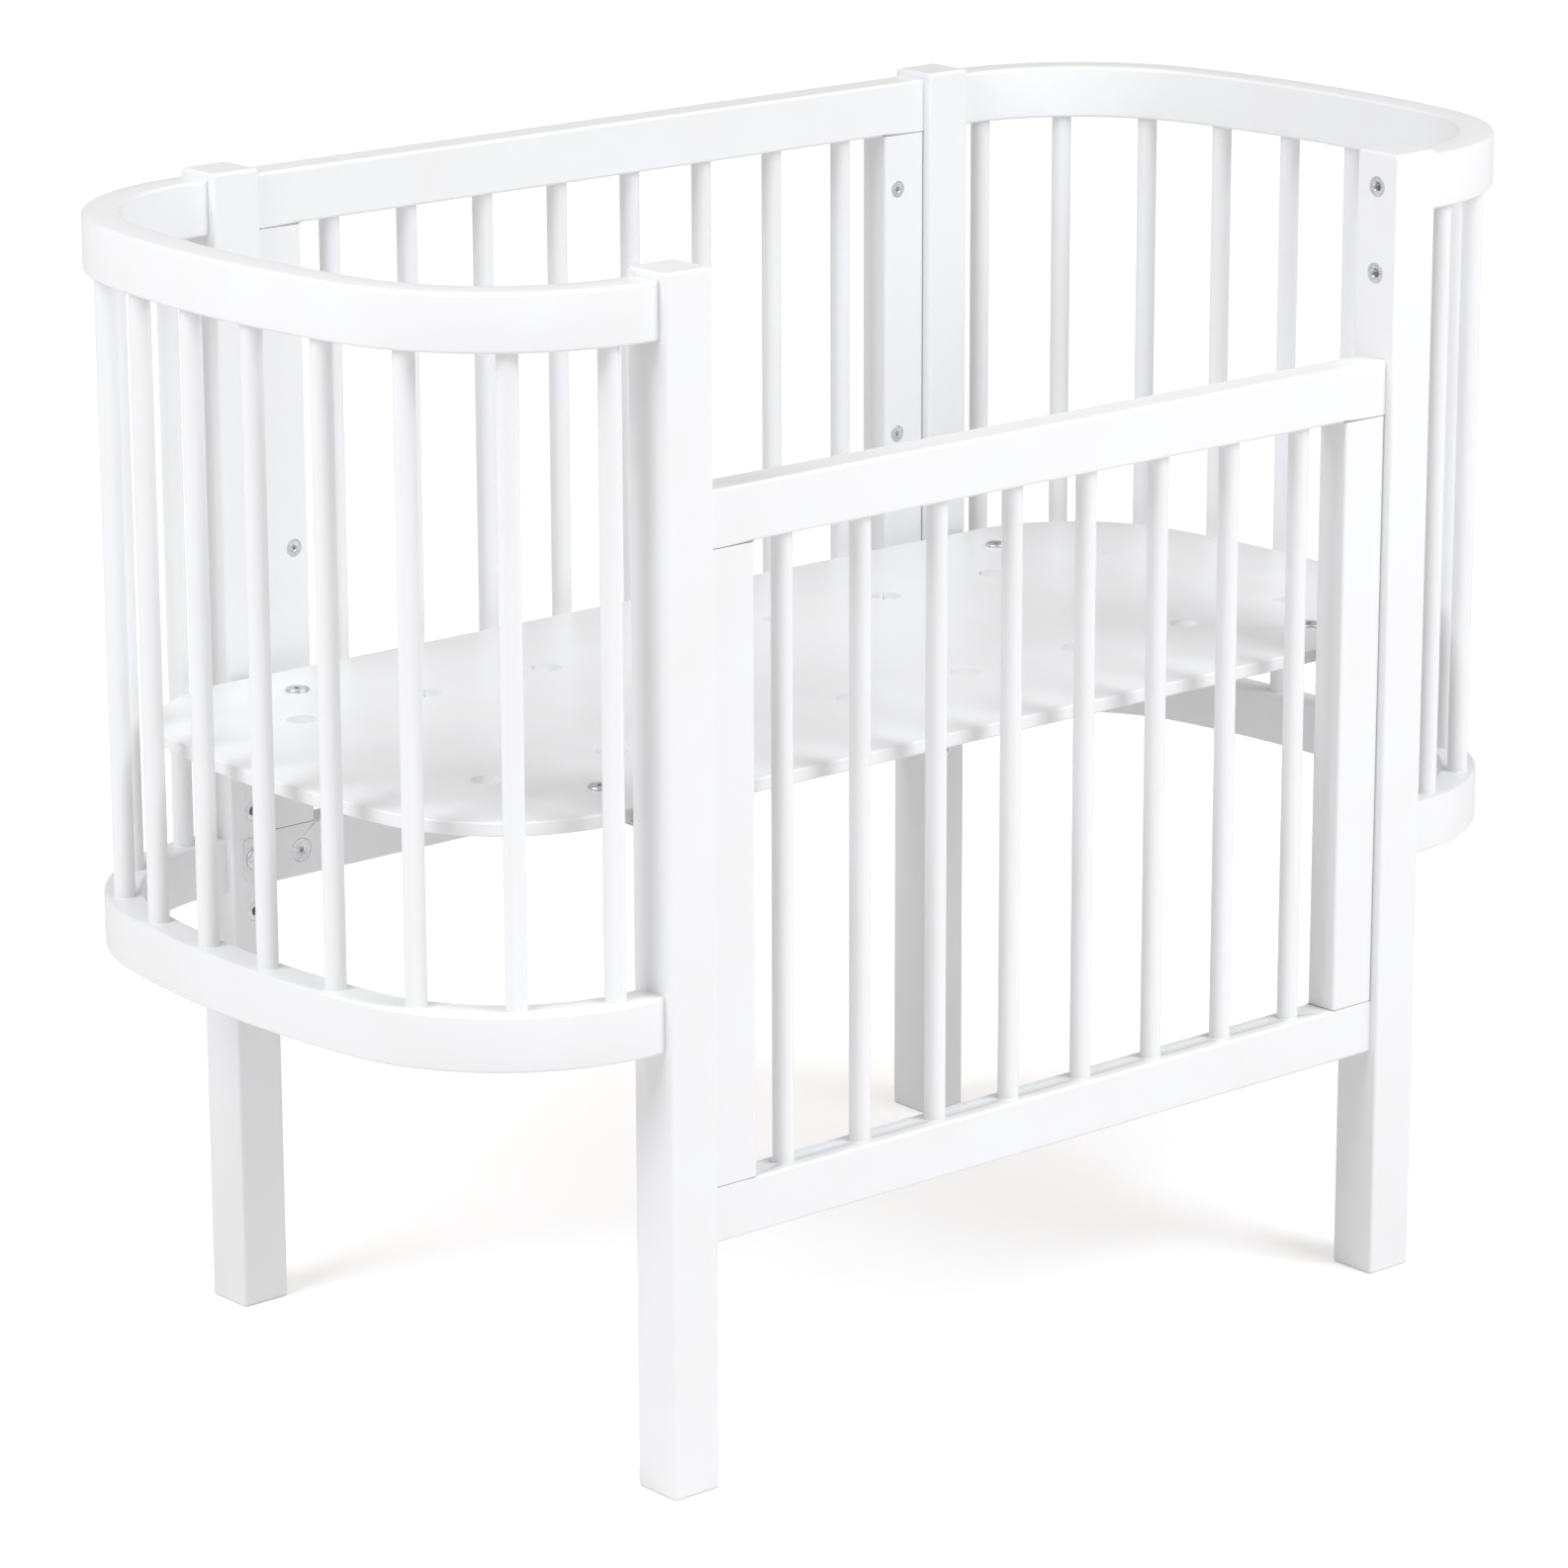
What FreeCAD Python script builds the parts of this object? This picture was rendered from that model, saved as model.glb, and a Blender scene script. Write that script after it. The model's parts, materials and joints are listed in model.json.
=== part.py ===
import FreeCAD, Part
import math
import os

# Baby crib on four square posts: a bent D-shaped spindle panel on each end, a straight spindle panel on
# each side, and a perforated mattress base on four brackets. The front side panel hangs lower than the
# rear one. Millimetres, +X to the right-hand end, +Y to the rear, +Z up, the floor at z = 0.

# ---- overall sizes ----
crib_height = 850.0          # floor to the top of a post
post_span_x = 720.0          # over the outer faces of the posts, along the crib
post_span_y = 540.0          # over the outer faces of the posts, across the crib
end_depth = 174.0            # how far a bent end stands out past its posts

# ---- posts and rails ----
post_side = 40.0
post_rounding = 2.5
rail_height = 40.0
rail_thickness = 27.0
rail_rounding = 2.5
stile_width = 40.0
post_above_rail = 5.0        # the posts stand this far above the top rails
panel_height = 525.0         # bottom of the bottom rail to the top of the top rail
front_drop = 145.0           # how far the front panel hangs below the rear one

# ---- bent ends ----
end_lead = 5.0               # straight run of a bent rail next to its post
corner_inset = 9.0           # corner radius falls this much short of the curved depth
end_spindle_count = 10
first_end_spindle = 30.0     # post face to the first spindle's axis, along a bent rail
tenon_length = 18.0
tenon_thickness = 12.0
tenon_shoulder = 7.0         # rail height left above and below a tenon
joint_chamfer = 0.5          # round a stile's ends, so that a fine groove marks each joint

# ---- spindles ----
spindle_dia = 15.0
spindle_tenon_dia = 10.0
spindle_tenon_length = 14.0
side_spindle_count = 8
first_spindle = 75.0         # post face to the first spindle's axis, on a side panel

# ---- mattress base ----
base_top = 482.0             # floor to the top of the base board
base_thickness = 10.0
base_rounding = 1.5
base_gap = 12.0              # base board to the inside of the bent rails
vent_dia = 22.0
vent_columns = 8
vent_pitch = 110.0
vent_row_offset = 105.0      # the two rows of vents sit this far from the middle
level_pitch = 76.0           # between the three heights that the base can be fixed at

# ---- brackets ----
bracket_width = 30.0
bracket_reach = 74.0         # horizontal leg, out from the post's inner face
bracket_drop = 34.0          # vertical leg, below the board
bracket_gauge = 2.5
bracket_bend = 1.0           # inner radius of the bend
bracket_corner = 5.0         # radius of the legs' free corners
bracket_hole_drop = 16.0     # board underside to the bolt that holds the bracket to its post
base_bolt_reach = 58.0       # post's inner face to the bolt through the board
weld_nut_dia = 14.0
weld_nut_height = 6.0

# ---- bolts, studs and inserts ----
bolt_dia = 6.0
bolt_head_dia = 17.0
bolt_head_height = 2.2
socket_size = 4.0            # across the flats of a hexagon socket
socket_depth = 1.6
insert_dia = 10.0
insert_flange_dia = 15.0
insert_flange_height = 1.2
insert_length = 13.0
stud_dia = 6.0
stud_length = 35.0
stud_engagement = 9.5        # how far a fastened stud reaches into its post
stud_setback = 0.5           # a drawn-back stud stays this far inside the panel
nut_dia = 12.0
nut_flange_dia = 13.0
nut_flange_height = 1.0
nut_from_end = 27.0          # post face to the axis of a barrel nut
rail_nut_flange_dia = 18.0   # the nut in the bottom rail has a wider flange
upper_nut_level = 442.0      # above the underside of the panel
lower_nut_level = 248.0
rear_bolt_level = 344.0      # spare bolt on the inner face of each rear post
plate_width = 19.0           # plastic plate under a spare bolt
plate_height = 31.0
plate_thickness = 1.5
plate_corner = 3.0

# ---- clearances ----
glue_clearance = 0.05        # radial, round tenons and press-in hardware
running_clearance = 0.06     # radial, studs and bolts in metal
hole_clearance = 0.25        # radial, bolts through the board and the brackets
tenon_clearance = 0.2        # on each flat side of a rail tenon
depth_clearance = 1.0        # past the end of a tenon or a stud

# ---- positions that follow from the sizes ----
post_x = post_span_x / 2 - post_side / 2
post_y = post_span_y / 2 - post_side / 2
inner_x = post_span_x / 2 - post_side
inner_y = post_span_y / 2 - post_side
high_panel = crib_height - post_above_rail - panel_height
low_panel = high_panel - front_drop
top_rail_level = panel_height - rail_height / 2
bottom_rail_level = rail_height / 2
base_underside = base_top - base_thickness
bracket_level = base_underside - bracket_hole_drop
levels = [bracket_level - level_pitch * step for step in range(3)]
stud_levels = [bottom_rail_level, lower_nut_level, upper_nut_level, top_rail_level]
nut_levels = [bottom_rail_level, lower_nut_level, upper_nut_level]
spare_bolt_length = post_side / 2 - tenon_thickness / 2 - 2 * depth_clearance    # stops short of the tenon

# The outer face of a bent end is a three-centred arch on a short straight lead: two corner arcs round
# (corner_x, corner_y) and a crown arc of crown_radius round (crown_x, 0), tangent to each other.
half_width = post_y + rail_thickness / 2
corner_radius = end_depth - end_lead - corner_inset
corner_x = post_span_x / 2 + end_lead
corner_y = half_width - corner_radius
rise = end_depth - end_lead
crown_radius = (rise ** 2 + corner_y ** 2 - corner_radius ** 2) / (2 * (rise - corner_radius))
crown_x = post_span_x / 2 + end_depth - crown_radius
blend_angle = math.atan2(corner_y, corner_x - crown_x)

UP = FreeCAD.Vector(0, 0, 1)
X_AXIS = FreeCAD.Vector(1, 0, 0)
Y_AXIS = FreeCAD.Vector(0, 1, 0)


def box(x0, x1, y0, y1, z0, z1):
    """A block between two corners."""
    return Part.makeBox(x1 - x0, y1 - y0, z1 - z0, FreeCAD.Vector(x0, y0, z0))


def rounded(solid, radius):
    """The solid with every edge rounded."""
    return solid.makeFillet(radius, solid.Edges)


def eased(solid, radius, along, low=-math.inf, high=math.inf):
    """The solid with the edges along an axis rounded where their height is between low and high."""
    edges = [edge for edge in solid.Edges
             if abs(edge.tangentAt(edge.FirstParameter).dot(along)) > 0.999
             and low < edge.CenterOfMass.z < high]
    return solid.makeFillet(radius, edges)


def edges_at(solid, *points):
    """The solid's edges whose middles lie at the points."""
    return [edge for edge in solid.Edges
            if any(edge.CenterOfMass.distanceToPoint(FreeCAD.Vector(*point)) < 0.01 for point in points)]


def rod(x, y, z, dia, length, axis=UP):
    """A cylinder from a point along an axis."""
    return Part.makeCylinder(dia / 2, length, FreeCAD.Vector(x, y, z), axis)


def save(name, *solids):
    """Write one node: a single solid, or several separate ones as a group."""
    shape = solids[0] if len(solids) == 1 else Part.makeCompound(list(solids))
    shape.exportStep(os.path.join("parts", name + ".step"))


def mirrored_x(shape):
    return shape.mirror(FreeCAD.Vector(0, 0, 0), X_AXIS)


# ---- the line of the bent ends ----
def arch_points(inset):
    """Start, middle and end of the three arcs of an end's curve, moved inward by the inset."""
    corner = corner_radius - inset
    crown = crown_radius - inset
    half_turn = (math.pi / 2 + blend_angle) / 2
    start = (corner_x, half_width - inset)
    middle = (corner_x + corner * math.cos(half_turn), corner_y + corner * math.sin(half_turn))
    blend = (crown_x + crown * math.cos(blend_angle), crown * math.sin(blend_angle))
    tip = (crown_x + crown, 0.0)
    return start, middle, blend, tip


def arch_edges(inset, first_x, z):
    """The end's curve from first_x at the rear round to first_x at the front, at height z."""
    start, middle, blend, tip = arch_points(inset)

    def at(point, side=1):
        return FreeCAD.Vector(point[0], side * point[1], z)

    lead = (first_x, start[1])
    return [
        Part.makeLine(at(lead), at(start)),
        Part.Arc(at(start), at(middle), at(blend)).toShape(),
        Part.Arc(at(blend), at(tip), at(blend, -1)).toShape(),
        Part.Arc(at(blend, -1), at(middle, -1), at(start, -1)).toShape(),
        Part.makeLine(at(start, -1), at(lead, -1)),
    ]


def along_arch(distance):
    """The point this far along the middle line of a bent rail, from its rear post to its front one."""
    inset = rail_thickness / 2
    corner = corner_radius - inset
    crown = crown_radius - inset
    corner_run = corner * (math.pi / 2 - blend_angle)
    crown_half = crown * blend_angle
    from_tip = end_lead + corner_run + crown_half - distance
    side = 1 if from_tip >= 0 else -1
    left = abs(from_tip)
    if left <= crown_half:
        return crown_x + crown * math.cos(left / crown), side * crown * math.sin(left / crown)
    left -= crown_half
    if left <= corner_run:
        angle = blend_angle + left / corner
        return corner_x + corner * math.cos(angle), side * (corner_y + corner * math.sin(angle))
    return corner_x - (left - corner_run), side * (half_width - inset)


def arch_length():
    """Length of the middle line of a bent rail, post to post."""
    inset = rail_thickness / 2
    corner_run = (corner_radius - inset) * (math.pi / 2 - blend_angle)
    return 2 * (end_lead + corner_run + (crown_radius - inset) * blend_angle)


def end_spindle_places():
    """Axes of one end's spindles, evenly spaced along the middle line."""
    pitch = (arch_length() - 2 * first_end_spindle) / (end_spindle_count - 1)
    return [along_arch(first_end_spindle + pitch * number) for number in range(end_spindle_count)]


# ---- posts ----
def insert_levels_x(side_y):
    """Heights of the studs' holes in a post: the rear panel has one position, the front panel has two."""
    panels = [high_panel] if side_y > 0 else [high_panel, low_panel]
    return [panel + level for panel in panels for level in stud_levels]


def insert_pocket(x, y, z, axis):
    """Hole for an insert and its flange, from the face of a post into the wood."""
    grow = 2 * glue_clearance
    hole = rod(x, y, z, insert_dia + grow, insert_length + depth_clearance, axis)
    return hole.fuse(rod(x, y, z, insert_flange_dia + grow, insert_flange_height, axis))


def post(side_x, side_y):
    """Square post with rail mortises outside and insert holes inside."""
    x = side_x * post_x
    y = side_y * post_y
    half = post_side / 2
    body = rounded(box(x - half, x + half, y - half, y + half, 0, crib_height), post_rounding)
    outer = side_x * post_span_x / 2
    mortise_end = outer - side_x * (tenon_length + depth_clearance)
    reach_y = tenon_thickness / 2 + tenon_clearance
    for rail_level in (bottom_rail_level, top_rail_level):
        centre = high_panel + rail_level
        reach_z = rail_height / 2 - tenon_shoulder + tenon_clearance
        body = body.cut(box(min(outer, mortise_end), max(outer, mortise_end),
                            y - reach_y, y + reach_y, centre - reach_z, centre + reach_z))
    for level in insert_levels_x(side_y):
        body = body.cut(insert_pocket(side_x * inner_x, y, level, X_AXIS * side_x))
    for level in levels:
        body = body.cut(insert_pocket(x, side_y * inner_y, level, Y_AXIS * side_y))
    if side_y > 0:
        body = body.cut(rod(x, inner_y, rear_bolt_level, bolt_dia + 2 * glue_clearance,
                            spare_bolt_length + depth_clearance, Y_AXIS))
    return body


def insert(x, y, z, axis):
    """Threaded insert, flush with the face of its post."""
    body = rod(x, y, z, insert_dia, insert_length, axis)
    body = body.fuse(rod(x, y, z, insert_flange_dia, insert_flange_height, axis))
    return body.cut(rod(x, y, z, bolt_dia + 2 * running_clearance, insert_length, axis))


def post_inserts():
    """Every insert of the four posts."""
    inserts = []
    for side_x in (-1, 1):
        for side_y in (-1, 1):
            for level in insert_levels_x(side_y):
                inserts.append(insert(side_x * inner_x, side_y * post_y, level, X_AXIS * side_x))
            for level in levels:
                inserts.append(insert(side_x * post_x, side_y * inner_y, level, Y_AXIS * side_y))
    return inserts


# ---- bent ends ----
def end_rail(centre, spindles_above):
    """Bent rail of the right-hand end: three arcs between two straight leads, with a tenon at each end."""
    low = centre - rail_height / 2
    face_x = post_span_x / 2
    outline = arch_edges(0.0, face_x, low) + arch_edges(rail_thickness, face_x, low)
    for side in (1, -1):
        outline.append(Part.makeLine(FreeCAD.Vector(face_x, side * half_width, low),
                                     FreeCAD.Vector(face_x, side * (half_width - rail_thickness), low)))
    face = Part.Face(Part.Wire(Part.__sortEdges__(outline)))
    body = face.extrude(UP * rail_height)
    long_edges = [edge for edge in body.Edges
                  if edge.BoundBox.ZLength < 0.001 and edge.BoundBox.XMax > face_x + 0.001]
    body = body.makeFillet(rail_rounding, long_edges)
    for side in (1, -1):
        y = side * post_y
        reach_z = rail_height / 2 - tenon_shoulder
        body = body.fuse(box(face_x - tenon_length, face_x + 1, y - tenon_thickness / 2,
                             y + tenon_thickness / 2, centre - reach_z, centre + reach_z))
    depth = spindle_tenon_length + depth_clearance
    start = centre + rail_height / 2 - depth if spindles_above else low
    for x, y in end_spindle_places():
        body = body.cut(rod(x, y, start, spindle_tenon_dia + 2 * glue_clearance, depth))
    return body


def spindle(x, y, low, high):
    """Round spindle between two rails, with a turned-down tenon at each end."""
    body = rod(x, y, low, spindle_dia, high - low)
    body = body.fuse(rod(x, y, low - spindle_tenon_length, spindle_tenon_dia, spindle_tenon_length))
    return body.fuse(rod(x, y, high, spindle_tenon_dia, spindle_tenon_length))


# ---- straight side panels ----
def side_spindle_places():
    """Spacing of a side panel's spindles along the crib."""
    first = -(inner_x - first_spindle)
    pitch = -2 * first / (side_spindle_count - 1)
    return [first + pitch * number for number in range(side_spindle_count)]


def stud_bore(side_x, y, z):
    """Blind bore for a stud, from the end of a panel inward."""
    length = stud_setback + stud_length + depth_clearance
    return rod(side_x * inner_x, y, z, stud_dia + 2 * running_clearance, length, X_AXIS * -side_x)


def nut_seat(side_x, side_y, z, flange):
    """Seat of a barrel nut, from the inner face of a panel."""
    grow = 2 * glue_clearance
    x = side_x * (inner_x - nut_from_end)
    face_y = side_y * (post_y - rail_thickness / 2)
    depth = rail_thickness / 2 + nut_dia / 2
    seat = rod(x, face_y, z, nut_dia + grow, depth, Y_AXIS * side_y)
    return seat.fuse(rod(x, face_y, z, flange + grow, nut_flange_height, Y_AXIS * side_y))


def side_rail(side_y, low, level, spindles_above, has_nuts):
    """Straight rail between two posts, its edges rounded but for the seats of the stiles."""
    y = side_y * post_y
    half = rail_thickness / 2
    bottom = low + level - rail_height / 2
    top = bottom + rail_height
    free_x = inner_x - stile_width
    free_side = (-math.inf, low + level) if spindles_above else (low + level, math.inf)
    body = eased(box(-free_x, free_x, y - half, y + half, bottom, top), rail_rounding, X_AXIS)
    for x0, x1 in ((-inner_x, -free_x), (free_x, inner_x)):
        under_stile = box(x0, x1, y - half, y + half, bottom, top)
        body = body.fuse(eased(under_stile, rail_rounding, X_AXIS, *free_side))
    body = body.removeSplitter()
    depth = spindle_tenon_length + depth_clearance
    start = bottom + rail_height - depth if spindles_above else bottom
    for x in side_spindle_places():
        body = body.cut(rod(x, y, start, spindle_tenon_dia + 2 * glue_clearance, depth))
    reach = stile_width / 2 - tenon_shoulder + tenon_clearance
    thick = tenon_thickness / 2 + tenon_clearance
    for side_x in (-1, 1):
        x = side_x * (inner_x - stile_width / 2)
        body = body.cut(box(x - reach, x + reach, y - thick, y + thick, start, start + depth))
        body = body.cut(stud_bore(side_x, y, low + level))
        if has_nuts:
            body = body.cut(nut_seat(side_x, side_y, low + level, rail_nut_flange_dia))
    return body


def stile(side_x, side_y, low):
    """Upright at one end of a side panel, with a tenon into each rail."""
    x = side_x * (inner_x - stile_width / 2)
    y = side_y * post_y
    half = rail_thickness / 2
    bottom = low + rail_height
    top = low + panel_height - rail_height
    body = box(x - stile_width / 2, x + stile_width / 2, y - half, y + half, bottom, top)
    body = eased(body, rail_rounding, UP)
    ends = [edge for edge in body.Edges if edge.BoundBox.ZLength < 0.001]
    body = body.makeChamfer(joint_chamfer, ends)
    reach = stile_width / 2 - tenon_shoulder
    body = body.fuse(box(x - reach, x + reach, y - tenon_thickness / 2, y + tenon_thickness / 2,
                         bottom - spindle_tenon_length, top + spindle_tenon_length))
    for level in (lower_nut_level, upper_nut_level):
        body = body.cut(stud_bore(side_x, y, low + level))
        body = body.cut(nut_seat(side_x, side_y, low + level, nut_flange_dia))
    return body


def barrel_nut(side_x, side_y, z, flange):
    """Barrel nut across a stud, flush with the inner face of its panel, with a hexagon socket."""
    x = side_x * (inner_x - nut_from_end)
    face_y = side_y * (post_y - rail_thickness / 2)
    outward = Y_AXIS * side_y
    body = rod(x, face_y, z, nut_dia, rail_thickness / 2 + nut_dia / 2 - depth_clearance, outward)
    body = body.fuse(rod(x, face_y, z, flange, nut_flange_height, outward))
    body = body.cut(hexagon(x, face_y, z, outward))
    across = rod(x - nut_dia, side_y * post_y, z, stud_dia + 2 * running_clearance, 2 * nut_dia, X_AXIS)
    return body.cut(across)


def barrel_nuts(side_y, low):
    """The six barrel nuts of one side panel."""
    nuts = []
    for side_x in (-1, 1):
        for level in nut_levels:
            flange = rail_nut_flange_dia if level == bottom_rail_level else nut_flange_dia
            nuts.append(barrel_nut(side_x, side_y, low + level, flange))
    return nuts


def studs(side_x, side_y, low, engaged):
    """The four studs at one end of a side panel, fastened into the post or drawn back into the panel."""
    outer = inner_x + engaged
    start = side_x * outer
    return [rod(start, side_y * post_y, low + level, stud_dia, stud_length, X_AXIS * -side_x)
            for level in stud_levels]


def side_panel(name, side_y, low):
    """Rails, stiles and spindles of one side panel."""
    save(name + "_panel_bottom_rail", side_rail(side_y, low, bottom_rail_level, True, True))
    save(name + "_panel_top_rail", side_rail(side_y, low, top_rail_level, False, False))
    save(name + "_panel_left_stile", stile(-1, side_y, low))
    save(name + "_panel_right_stile", stile(1, side_y, low))
    for number, x in enumerate(side_spindle_places(), 1):
        turned = spindle(x, side_y * post_y, low + rail_height, low + panel_height - rail_height)
        save("{}_spindle_{}".format(name, number), turned)


# ---- bolts ----
def hexagon(x, y, z, axis):
    """Hexagon socket sunk from a face along an axis."""
    radius = socket_size / math.sqrt(3)
    ring = []
    for corner in range(7):
        angle = math.radians(60 * corner)
        if abs(axis.z) > 0.5:
            ring.append(FreeCAD.Vector(x + radius * math.cos(angle), y + radius * math.sin(angle), z))
        else:
            ring.append(FreeCAD.Vector(x + radius * math.cos(angle), y, z + radius * math.sin(angle)))
    return Part.Face(Part.makePolygon(ring)).extrude(axis * socket_depth)


def flat_bolt(x, y, z, axis, length):
    """Flat-headed bolt: the head's underside at the point, the shank along the axis."""
    head = rod(x, y, z, bolt_head_dia, bolt_head_height, axis * -1)
    seat = FreeCAD.Vector(x, y, z)
    rim = [edge for edge in head.Edges
           if edge.isClosed() and edge.CenterOfMass.distanceToPoint(seat) > bolt_head_height / 2]
    head = head.makeFillet(bolt_head_height / 2, rim)
    top = seat - axis * bolt_head_height
    body = head.fuse(rod(x, y, z, bolt_dia, length, axis))
    return body.cut(hexagon(top.x, top.y, top.z, axis))


# ---- mattress base ----
def vent_places():
    """Two rows of vents, front and rear."""
    first = -vent_pitch * (vent_columns - 1) / 2
    return [(first + vent_pitch * column, side * vent_row_offset)
            for column in range(vent_columns) for side in (-1, 1)]


def base_board():
    """Oval board that follows the inside of the bent rails, with vents and four bolt holes."""
    inset = rail_thickness + base_gap
    right = arch_edges(inset, 0.0, base_underside)
    left = [mirrored_x(edge) for edge in right]
    face = Part.Face(Part.Wire(Part.__sortEdges__(right + left)))
    body = face.extrude(UP * base_thickness)
    body = body.makeFillet(base_rounding, [edge for edge in body.Edges if edge.BoundBox.ZLength < 0.001])
    for x, y in vent_places():
        body = body.cut(rod(x, y, base_underside, vent_dia, base_thickness))
    for side_x in (-1, 1):
        for side_y in (-1, 1):
            body = body.cut(rod(side_x * post_x, side_y * (inner_y - base_bolt_reach), base_underside,
                                bolt_dia + 2 * hole_clearance, base_thickness))
    return body


def bracket(side_x, side_y):
    """Angle bracket on the inner face of a post, with a weld nut under the leg that carries the board."""
    x = side_x * post_x
    face_y = side_y * inner_y
    half = bracket_width / 2
    tip_y = face_y - side_y * bracket_reach
    back_y = face_y - side_y * bracket_gauge
    foot = base_underside - bracket_drop
    body = box(x - half, x + half, min(face_y, tip_y), max(face_y, tip_y),
               base_underside - bracket_gauge, base_underside)
    body = body.fuse(box(x - half, x + half, min(face_y, back_y), max(face_y, back_y),
                         foot, base_underside)).removeSplitter()
    inner_bend = edges_at(body, (x, back_y, base_underside - bracket_gauge))
    body = body.makeFillet(bracket_bend, inner_bend)
    outer_bend = edges_at(body, (x, face_y, base_underside))
    body = body.makeFillet(bracket_bend + bracket_gauge, outer_bend)
    corners = [(x + side * half, tip_y, base_underside - bracket_gauge / 2) for side in (-1, 1)]
    corners += [(x + side * half, (face_y + back_y) / 2, foot) for side in (-1, 1)]
    body = body.makeFillet(bracket_corner, edges_at(body, *corners))
    bolt_y = face_y - side_y * base_bolt_reach
    nut_bottom = base_underside - bracket_gauge - weld_nut_height
    body = body.fuse(rod(x, bolt_y, nut_bottom, weld_nut_dia, weld_nut_height))
    body = body.cut(rod(x, bolt_y, nut_bottom, bolt_dia + 2 * running_clearance,
                        weld_nut_height + bracket_gauge))
    return body.cut(rod(x, back_y, bracket_level, bolt_dia + 2 * hole_clearance, bracket_gauge,
                        Y_AXIS * side_y))


def base_bolts():
    """Bolts through the board into the brackets' weld nuts."""
    length = base_thickness + bracket_gauge + weld_nut_height
    return [flat_bolt(side_x * post_x, side_y * (inner_y - base_bolt_reach), base_top, UP * -1, length)
            for side_x in (-1, 1) for side_y in (-1, 1)]


def bolt_plate(side_x):
    """Plastic plate under the spare bolt of a rear post."""
    x = side_x * post_x
    low = rear_bolt_level - plate_height / 2
    body = box(x - plate_width / 2, x + plate_width / 2, inner_y - plate_thickness, inner_y,
               low, low + plate_height)
    body = eased(body, plate_corner, Y_AXIS)
    return body.cut(rod(x, inner_y - plate_thickness, rear_bolt_level, bolt_dia + 2 * hole_clearance,
                        plate_thickness, Y_AXIS))


def post_bolts():
    """Bolts that hold the brackets to the posts, and the spare bolt on each rear post."""
    bolts = []
    for side_x in (-1, 1):
        for side_y in (-1, 1):
            seat = side_y * (inner_y - bracket_gauge)
            bolts.append(flat_bolt(side_x * post_x, seat, bracket_level, Y_AXIS * side_y, insert_length))
        bolts.append(flat_bolt(side_x * post_x, inner_y - plate_thickness, rear_bolt_level, Y_AXIS,
                               plate_thickness + spare_bolt_length))
    return bolts


def main():
    os.makedirs("parts", exist_ok=True)
    for side_name, side_x in (("left", -1), ("right", 1)):
        for face_name, side_y in (("front", -1), ("rear", 1)):
            save("{}_{}_post".format(face_name, side_name), post(side_x, side_y))

    for rail_name, level, above in (("bottom", bottom_rail_level, True), ("top", top_rail_level, False)):
        rail = end_rail(high_panel + level, above)
        save("right_end_{}_rail".format(rail_name), rail)
        save("left_end_{}_rail".format(rail_name), mirrored_x(rail))
    for number, (x, y) in enumerate(end_spindle_places(), 1):
        turned = spindle(x, y, high_panel + rail_height, high_panel + panel_height - rail_height)
        save("right_end_spindle_{}".format(number), turned)
        save("left_end_spindle_{}".format(number), mirrored_x(turned))

    side_panel("rear", 1, high_panel)
    side_panel("front", -1, low_panel)
    fastened = studs(-1, 1, high_panel, stud_engagement) + studs(1, 1, high_panel, stud_engagement)
    drawn_back = studs(-1, -1, low_panel, -stud_setback) + studs(1, -1, low_panel, -stud_setback)
    save("rear_panel_connectors", *barrel_nuts(1, high_panel), *fastened)
    save("front_panel_connectors", *barrel_nuts(-1, low_panel), *drawn_back)

    save("post_inserts", *post_inserts())
    save("post_bolts", *post_bolts())
    save("rear_bolt_plates", bolt_plate(-1), bolt_plate(1))
    save("base_brackets", *[bracket(side_x, side_y) for side_x in (-1, 1) for side_y in (-1, 1)])
    save("base_board", base_board())
    save("base_board_bolts", *base_bolts())


main()
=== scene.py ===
"""Baby crib in white satin lacquer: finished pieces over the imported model, and a plain studio."""

import json
import math

import bmesh
import bpy
import numpy as np
from bpy.props import FloatProperty, FloatVectorProperty, IntProperty, PointerProperty
from bpy.types import Operator, Panel, PropertyGroup
from mathutils import Euler, Matrix, Vector

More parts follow.
